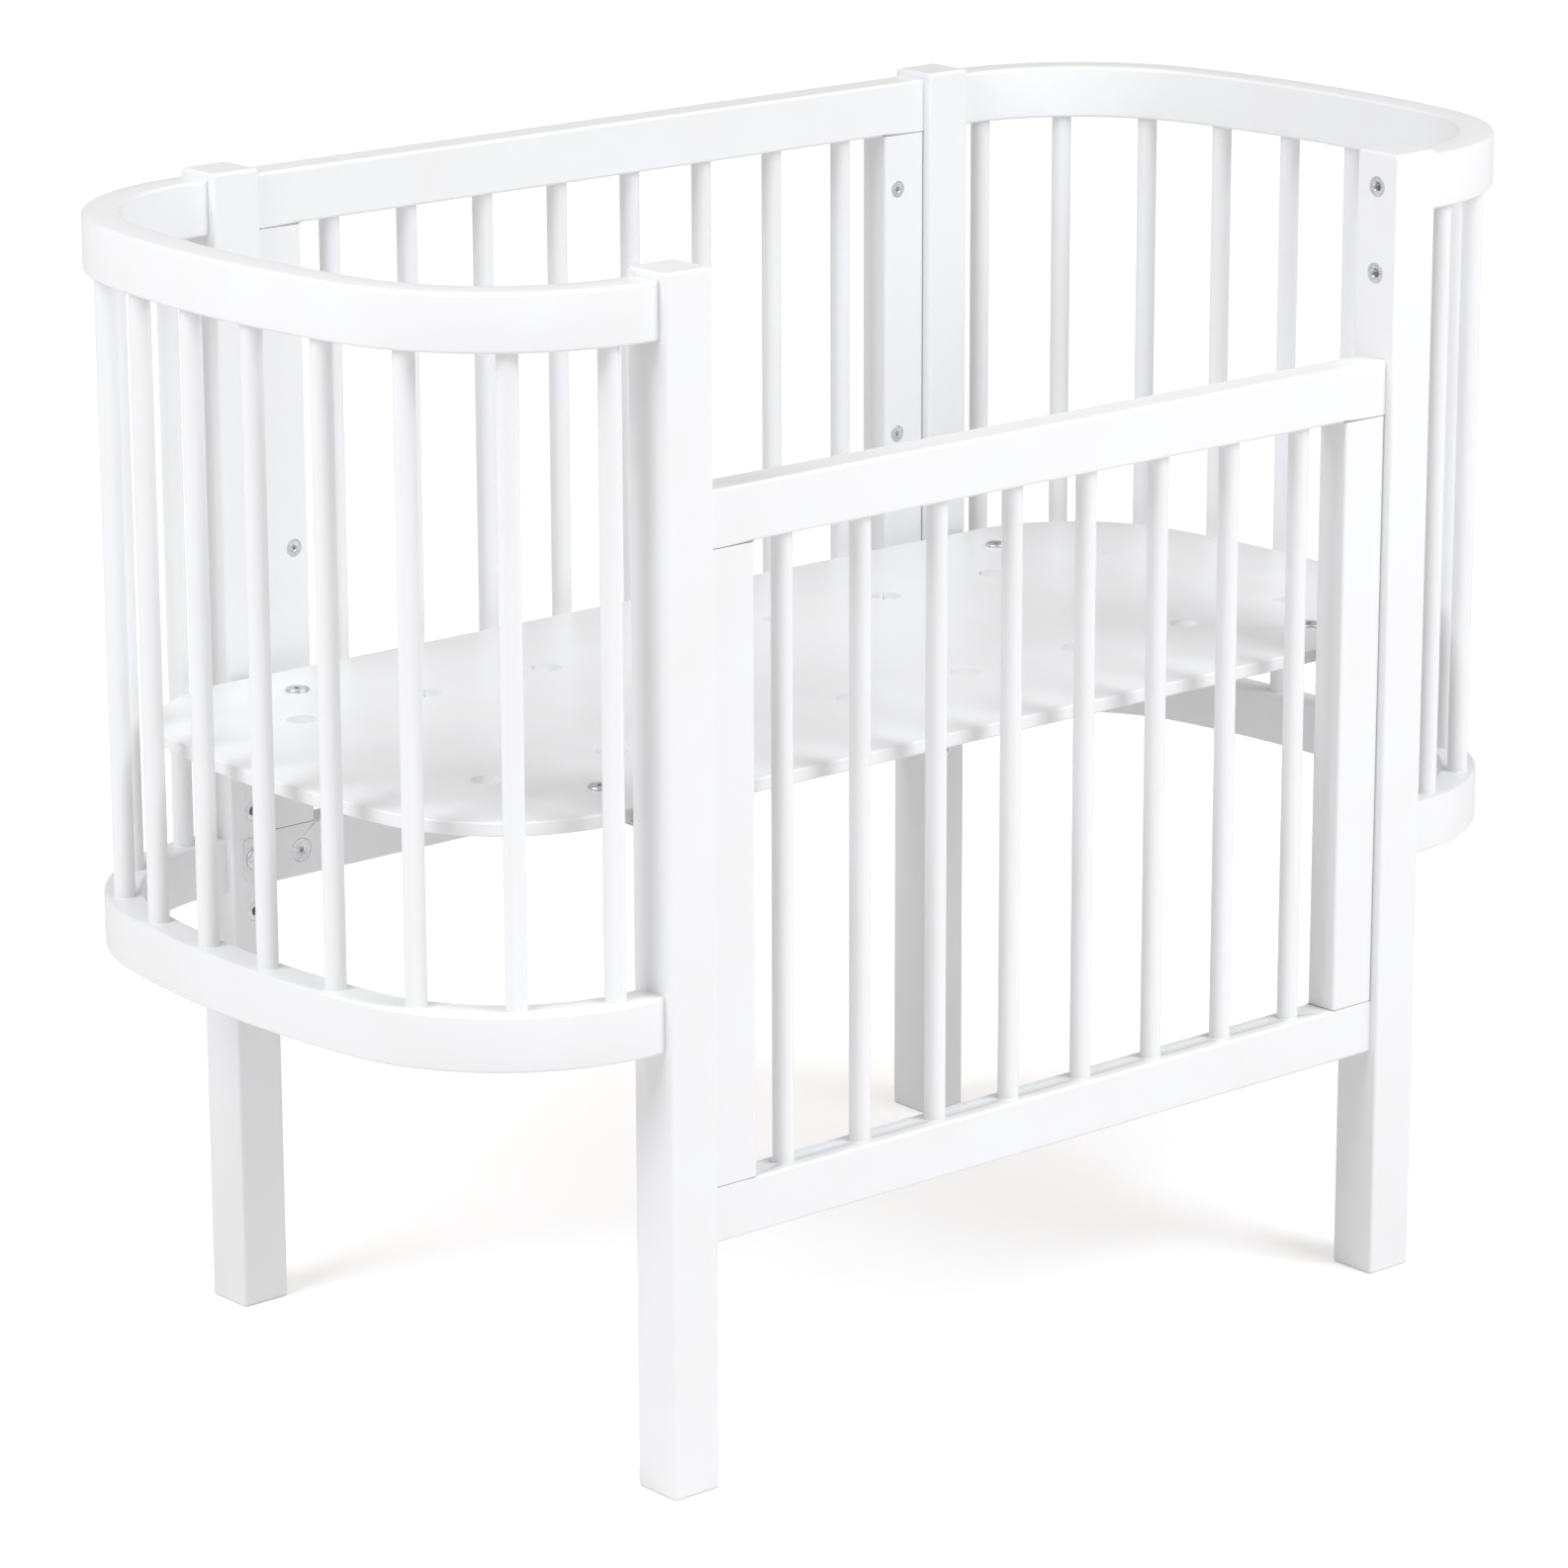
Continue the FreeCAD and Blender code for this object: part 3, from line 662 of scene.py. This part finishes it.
def paint_joint_groove_shade(piece, levels):
    """Gives the slanting faces at the given heights the dark finish that paints shade into the
    joint groove.
    """
    groove = 0.0006                 # no face of a groove has its middle farther from its height
    least_slant, most_slant = 0.5, 0.9
    mesh = piece.data
    mesh.materials.append(finish_named("joint_groove_painted_shade"))
    middles = np.empty(len(mesh.polygons) * 3)
    mesh.polygons.foreach_get("center", middles)
    normals = np.empty(len(mesh.polygons) * 3)
    mesh.polygons.foreach_get("normal", normals)
    height = middles.reshape(-1, 3)[:, 2]
    slant = np.abs(normals.reshape(-1, 3)[:, 2])
    near = np.min(np.abs(height[:, None] - np.array(levels)), axis=1) < groove
    slanting = (slant > least_slant) & (slant < most_slant)
    mesh.polygons.foreach_set("material_index", (near & slanting).astype(np.int32))


def bend_line(node):
    """Outer face of a bent rail, seen from above, and its outward normals, rear to front.

    The line is a three-centred arch on short straight leads. The corner arcs' radius falls short
    of the curved depth by the corner inset, and the crown arc touches both of them and the tip of
    the end.
    """
    wood = bpy.context.scene.crib_wood
    corner_steps, crown_steps = 40, 72
    low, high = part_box(node)
    side = math.copysign(1.0, low.x + high.x)
    face_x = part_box("rear_right_post")[1].x
    half_width = high.y
    rise = max(abs(low.x), abs(high.x)) - face_x - wood.bend_lead
    corner_radius = rise - wood.corner_inset
    corner_x = face_x + wood.bend_lead
    corner_y = half_width - corner_radius
    crown_radius = (rise ** 2 + corner_y ** 2 - corner_radius ** 2) / (2 * (rise - corner_radius))
    crown_x = corner_x + rise - crown_radius
    blend = math.degrees(math.atan2(corner_y, corner_x - crown_x))
    outer = np.concatenate([
        [(face_x, half_width)],
        arc((corner_x, corner_y), corner_radius, 90, blend, corner_steps),
        arc((crown_x, 0.0), crown_radius, blend, -blend, crown_steps)[1:-1],
        arc((corner_x, -corner_y), corner_radius, -blend, -90, corner_steps),
        [(face_x, -half_width)],
    ])
    normal = np.concatenate([
        [(0.0, 1.0)],
        arc((0.0, 0.0), 1.0, 90, blend, corner_steps),
        arc((0.0, 0.0), 1.0, blend, -blend, crown_steps)[1:-1],
        arc((0.0, 0.0), 1.0, -blend, -90, corner_steps),
        [(0.0, -1.0)],
    ])
    flip = np.array([side, 1.0])
    return outer * flip, normal * flip


class CRIB_OT_bent_rails(Operator):
    """Bent top and bottom rails of both rounded ends, each with a tenon for either post"""

    bl_idname = "crib.bent_rails"
    bl_label = "Bent rails"

    def execute(self, context):
        wood = context.scene.crib_wood
        tongue_rounding, buried = 0.001, 0.001
        rail_low, rail_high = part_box("rear_panel_top_rail")
        thickness = rail_high.y - rail_low.y
        for node in BENT_RAILS:
            low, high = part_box(node)
            height = high.z - low.z
            outer, normal = bend_line(node)
            outline = rounded_outline(thickness, height, wood.rail_rounding)
            shapes = [outward(swept(outer, normal, outline, low.z))]
            face_x = outer[0, 0]
            into_post = np.array([-math.copysign(1.0, face_x), 0.0])
            tongue = rounded_outline(wood.rail_tenon_thickness,
                                     height - 2 * wood.rail_tenon_shoulder, tongue_rounding, 2)
            for side in (1, -1):
                middle_y = side * (high.y - thickness / 2)
                start = np.array([face_x, middle_y + wood.rail_tenon_thickness / 2])
                run = start + np.outer([-buried, wood.rail_tenon], into_post)
                across = np.repeat([(0.0, 1.0)], 2, axis=0)
                shapes.append(outward(swept(run, across, tongue, low.z + wood.rail_tenon_shoulder)))
            add_piece(node + "_lacquered", joined(shapes), finish_named("satin_lacquer_deep"),
                      (node,))
        return {"FINISHED"}


def spindle_profile(dia, length, wood):
    """Half outline of a spindle: tenon, shoulder, straight body, a lacquer fillet at each rail."""
    tenon = wood.spindle_tenon_dia / 2
    shoulder = wood.spindle_tenon
    body = dia / 2
    fillet = wood.lacquer_fillet
    chamfer = tenon / 8
    lower = np.concatenate([
        [(tenon - chamfer, 0.0), (tenon, chamfer), (tenon, shoulder)],
        arc((body + fillet, shoulder + fillet), fillet, 270, 180, 4),
    ])
    upper = lower[::-1] * (1, -1) + (0, length)
    return np.concatenate([lower, upper])


class CRIB_OT_spindles(Operator):
    """Round spindles of the side panels and of the rounded ends, with turned-down tenons"""

    bl_idname = "crib.spindles"
    bl_label = "Spindles"

    def execute(self, context):
        wood = context.scene.crib_wood
        for node in SPINDLES:
            low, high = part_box(node)
            shape = turned(spindle_profile(high.x - low.x, high.z - low.z, wood), around=48)
            foot = ((low.x + high.x) / 2, (low.y + high.y) / 2, low.z)
            add_piece(node + "_turned", set_out(shape, [foot], [(0, 0, 1)]),
                      finish_named("satin_lacquer_upright"), (node,))
        return {"FINISHED"}


class CRIB_OT_base_board(Operator):
    """Oval mattress board with its vents"""

    bl_idname = "crib.base_board"
    bl_label = "Base board"

    def execute(self, context):
        add_copy("base_board", "base_board_lacquered",
                 finish_named("satin_lacquer_across"))
        return {"FINISHED"}


# ---- steelwork ----
def socket_mouth(steel):
    """Rings of a hexagon socket from its floor to its mouth, and its countersink's round rim."""
    half = steel.socket_size / 2
    depth = steel.socket_depth
    rim = half * 1.28
    return [(half * 0.98, depth), (half, depth * 0.94), (half, half * 0.12), (rim, 0.0)]


def zigzag(first, second, heights):
    """Points at the heights whose radius is the first and the second value by turns."""
    return [(second if step % 2 else first, height) for step, height in enumerate(heights)]


def thread(start, end, steel):
    """Crests and roots from one height to another."""
    crest = steel.thread_dia / 2
    root = crest - steel.thread_depth
    turns = int((end - start) / steel.thread_pitch)
    heights = np.linspace(start, end, 2 * turns + 1)
    return zigzag(crest, root, heights)


def flat_bolt(head_dia, length, steel):
    """Flat-headed bolt from its face along z: hexagon socket, rounded rim, shank and thread."""
    rim = steel.head_height / 2
    head = head_dia / 2
    tip = steel.thread_dia / 2 * 0.8
    profile = np.concatenate([
        socket_mouth(steel),
        arc((head - rim, rim), rim, 270, 360, 6),
        [(head, steel.head_height * 0.93), (head - rim * 0.14, steel.head_height)],
        thread(steel.head_height, length - steel.thread_depth, steel),
        [(tip, length)],
    ])
    return turned(profile, around=36, hexagon=(0, 1, 2))


class CRIB_OT_bolts(Operator):
    """Flat-headed bolts of the base board, its brackets and the rear posts"""

    bl_idname = "crib.bolts"
    bl_label = "Bolts"

    def execute(self, context):
        steel = context.scene.crib_steel
        metal = finish_named("bright_zinc_plating")
        boxes = solid_boxes("base_board_bolts")
        tops = [((low[0] + high[0]) / 2, (low[1] + high[1]) / 2, high[2]) for low, high in boxes]
        low, high = boxes[0]
        shape = flat_bolt(high[0] - low[0], high[2] - low[2], steel)
        add_piece("base_board_bolts_plated", set_out(shape, tops, [(0, 0, -1)] * len(tops)), metal,
                  ("base_board_bolts",))
        boxes = solid_boxes("post_bolts")
        places, ways, lengths = fastener_places(boxes, 1)
        shapes = []
        for (low, high), place, way, length in zip(boxes, places, ways, lengths):
            shapes.append(set_out(flat_bolt(high[0] - low[0], length, steel), [place], [way]))
        add_piece("post_bolts_plated", joined(shapes), metal, ("post_bolts",))
        return {"FINISHED"}


def insert_profile(flange_dia, length, steel):
    """Closed outline of a threaded insert: flange, barbed body and threaded bore."""
    bore = steel.thread_dia / 2 * 1.02
    flange = flange_dia / 2
    body = steel.insert_dia / 2
    edge = steel.insert_flange / 4
    barbs = np.linspace(steel.insert_flange, length, 11)
    grooves = np.linspace(length * 0.97, bore * 0.25, 21)
    return np.concatenate([
        [(bore * 1.22, 0.0)],
        arc((flange - edge, edge), edge, 270, 360, 3),
        [(flange, steel.insert_flange)],
        zigzag(body, body * 0.9, barbs),
        zigzag(bore, bore * 1.1, grooves),
    ])


class CRIB_OT_inserts(Operator):
    """Threaded inserts in the inner faces of the posts"""

    bl_idname = "crib.inserts"
    bl_label = "Inserts"

    def execute(self, context):
        steel = context.scene.crib_steel
        boxes = solid_boxes("post_inserts")
        shapes = []
        for axis in (0, 1):
            own = [box for box in boxes if np.argmin(box[1] - box[0]) == axis]
            places, ways, lengths = fastener_places(own, axis)
            flange_dia = own[0][1][2] - own[0][0][2]
            profile = insert_profile(flange_dia, lengths[0], steel)
            shape = turned(profile, around=24, looped=True)
            shapes.append(set_out(shape, places, ways))
        add_piece("post_inserts_plated", joined(shapes), finish_named("bright_zinc_plating"),
                  ("post_inserts",))
        return {"FINISHED"}


def barrel_nut(flange_dia, length, steel):
    """Barrel nut from its face along z: hexagon socket, chamfered flange and round body."""
    flange = flange_dia / 2
    body = steel.nut_dia / 2
    chamfer = steel.nut_flange * 0.4
    profile = np.concatenate([
        socket_mouth(steel),
        [(flange - chamfer, 0.0), (flange, chamfer), (flange, steel.nut_flange)],
        [(body, steel.nut_flange), (body, length - chamfer), (body - chamfer, length)],
    ])
    return turned(profile, around=48, hexagon=(0, 1, 2))


def stud(length, steel):
    """Threaded stud with a chamfer at both ends."""
    tip = steel.thread_dia / 2 * 0.8
    profile = np.concatenate([
        [(tip, 0.0)],
        thread(steel.thread_depth, length - steel.thread_depth, steel),
        [(tip, length)],
    ])
    return turned(profile, around=24)


def panel_fasteners(node, steel):
    """Shapes of a side panel's barrel nuts and studs, told apart by the way they lie."""
    shapes = []
    for box in solid_boxes(node):
        size = box[1] - box[0]
        axis = 0 if size[0] > size[1] and size[1] < steel.thread_dia * 1.1 else 1
        places, ways, lengths = fastener_places([box], axis)
        length = lengths[0]
        made = stud(length, steel) if axis == 0 else barrel_nut(size[2], length, steel)
        shapes.append(set_out(made, places, ways))
    return joined(shapes)


class CRIB_OT_panel_fasteners(Operator):
    """Barrel nuts and studs that hold the side panels to the posts"""

    bl_idname = "crib.panel_fasteners"
    bl_label = "Barrel nuts and studs"

    def execute(self, context):
        steel = context.scene.crib_steel
        for node in ("rear_panel_connectors", "front_panel_connectors"):
            add_piece(node + "_plated", panel_fasteners(node, steel),
                      finish_named("bright_zinc_plating"), (node,))
        return {"FINISHED"}


class CRIB_OT_bolt_plates(Operator):
    """Plastic plates under the spare bolts of the rear posts"""

    bl_idname = "crib.bolt_plates"
    bl_label = "Bolt plates"

    def execute(self, context):
        add_copy("rear_bolt_plates", "rear_bolt_plates_moulded",
                 finish_named("moulded_white_plastic"))
        return {"FINISHED"}


class CRIB_OT_brackets(Operator):
    """Angle brackets under the base board, with their weld nuts"""

    bl_idname = "crib.brackets"
    bl_label = "Brackets"

    def execute(self, context):
        add_copy("base_brackets", "base_brackets_plated",
                 finish_named("bright_zinc_plating"))
        return {"FINISHED"}


# ---- stage ----
def studio_floor_finish(colour, glow):
    """Matt white table with the faintest unevenness, whose glow only the camera sees."""
    material, tree, place = blank_finish("matt_white_floor")
    cloud = add_node(tree, "ShaderNodeTexNoise", {"Scale": 0.8}, {"Vector": place})
    gloss = add_node(tree, "ShaderNodeMapRange", {"To Min": 0.85, "To Max": 0.95},
                     {"Value": cloud.outputs["Fac"]})
    seen = add_node(tree, "ShaderNodeLightPath").outputs["Is Camera Ray"]
    shader = add_node(tree, "ShaderNodeBsdfPrincipled",
                      {"Base Color": (*colour, 1.0), "Specular IOR Level": 0.1,
                       "Emission Color": (glow, glow, glow, 1.0)},
                      {"Roughness": gloss.outputs["Result"], "Emission Strength": seen})
    add_node(tree, "ShaderNodeOutputMaterial", links={"Surface": shader.outputs["BSDF"]})
    return material


def add_floor(stage):
    """Flat square grid at height zero: x and y each run from minus to plus the reach."""
    line = np.linspace(-stage.floor_reach, stage.floor_reach, stage.floor_steps + 1)
    x, y = np.meshgrid(line, line)
    points = np.stack([x, y, np.zeros_like(x)], axis=-1).reshape(-1, 3)
    row = np.arange(stage.floor_steps)[:, None] * len(line)
    corner = row + np.arange(stage.floor_steps)[None, :]
    quads = np.stack([corner, corner + 1, corner + len(line) + 1, corner + len(line)], axis=-1)
    mesh = bpy.data.meshes.new("studio_floor")
    mesh.from_pydata(points.tolist(), [], quads.reshape(-1, 4).tolist())
    mesh.materials.append(studio_floor_finish(stage.floor, stage.floor_glow))
    floor = bpy.data.objects.new("studio_floor", mesh)
    bpy.context.scene.collection.objects.link(floor)


def add_lamp(name, kind, strength, stage):
    """A light of a kind and strength in the studio's light colour, not yet placed."""
    light = bpy.data.lights.new(name, kind)
    light.energy = strength
    light.color = stage.light_colour
    lamp = bpy.data.objects.new(name, light)
    bpy.context.scene.collection.objects.link(lamp)
    return lamp


def add_far_light(name, source, strength, stage):
    """An even soft light from a patch of the sky, at an azimuth and elevation in degrees."""
    azimuth, elevation = source
    lamp = add_lamp(name, "SUN", strength, stage)
    lamp.data.angle = stage.softness
    lamp.rotation_euler = (math.radians(90 - elevation), 0.0, math.radians(azimuth))


def add_soft_box(name, place, power, stage):
    """Near square soft box that looks at the crib, its light falling off towards the floor."""
    lamp = add_lamp(name, "AREA", power, stage)
    lamp.data.shape = "SQUARE"
    lamp.data.size = stage.box_size
    lamp.location = place
    look = Vector((0.0, 0.0, model_box[1].z * BOX_AIM)) - Vector(place)
    lamp.rotation_euler = look.to_track_quat("-Z", "Y").to_euler()


class CRIB_OT_stage(Operator):
    """Pale floor, soft lights and camera"""

    bl_idname = "crib.stage"
    bl_label = "Studio"

    def execute(self, context):
        scene = context.scene
        stage = scene.crib_stage
        add_floor(stage)
        world = bpy.data.worlds.new("white_studio")
        world.use_nodes = True
        world.node_tree.nodes.clear()
        sky = add_node(world.node_tree, "ShaderNodeBackground",
                       {"Color": (*stage.sky_colour, 1.0), "Strength": stage.sky})
        add_node(world.node_tree, "ShaderNodeOutputWorld",
                 links={"Surface": sky.outputs["Background"]})
        scene.world = world
        add_far_light("left_light", LEFT_LIGHT_FROM, stage.left_light, stage)
        add_far_light("front_light", FRONT_LIGHT_FROM, stage.front_light, stage)
        add_soft_box("left_soft_box", LEFT_BOX_PLACE, stage.left_box, stage)
        add_soft_box("front_soft_box", FRONT_BOX_PLACE, stage.front_box, stage)
        camera = bpy.data.cameras.new("studio_camera")
        camera.lens = stage.lens
        camera.clip_end = 100.0
        viewer = bpy.data.objects.new("studio_camera", camera)
        turn = Euler((math.pi / 2 - stage.elevation, 0.0, stage.azimuth)).to_matrix()
        turn = turn @ Matrix.Rotation(stage.roll, 3, "Z")
        viewer.matrix_world = Matrix.Translation(stage.place) @ turn.to_4x4()
        scene.collection.objects.link(viewer)
        scene.camera = viewer
        scene.view_settings.view_transform = "Standard"
        return {"FINISHED"}


OPERATORS = (
    CRIB_OT_posts,
    CRIB_OT_side_panels,
    CRIB_OT_bent_rails,
    CRIB_OT_spindles,
    CRIB_OT_base_board,
    CRIB_OT_brackets,
    CRIB_OT_bolt_plates,
    CRIB_OT_bolts,
    CRIB_OT_inserts,
    CRIB_OT_panel_fasteners,
    CRIB_OT_stage,
)


class CRIB_PT_builder(Panel):
    """Lists the steps that make the crib"""

    bl_idname = "CRIB_PT_builder"
    bl_label = "Baby crib"
    bl_space_type = "VIEW_3D"
    bl_region_type = "UI"
    bl_category = "Crib"

    def draw(self, context):
        column = self.layout.column(align=True)
        for operator in OPERATORS:
            column.operator(operator.bl_idname)


SETTINGS = {
    "crib_wood": CribWoodSettings,
    "crib_steel": CribSteelSettings,
    "crib_finish": CribFinishSettings,
    "crib_stage": CribStageSettings,
}


def register():
    for owner in (*SETTINGS.values(), *OPERATORS, CRIB_PT_builder):
        bpy.utils.register_class(owner)
    for name, group in SETTINGS.items():
        setattr(bpy.types.Scene, name, PointerProperty(type=group))


def unregister():
    for name in SETTINGS:
        delattr(bpy.types.Scene, name)
    for owner in (CRIB_PT_builder, *reversed(OPERATORS), *SETTINGS.values()):
        bpy.utils.unregister_class(owner)


def main():
    register()
    for operator in OPERATORS:
        family, step = operator.bl_idname.split(".")
        getattr(getattr(bpy.ops, family), step)()


if __name__ == "__main__":
    main()
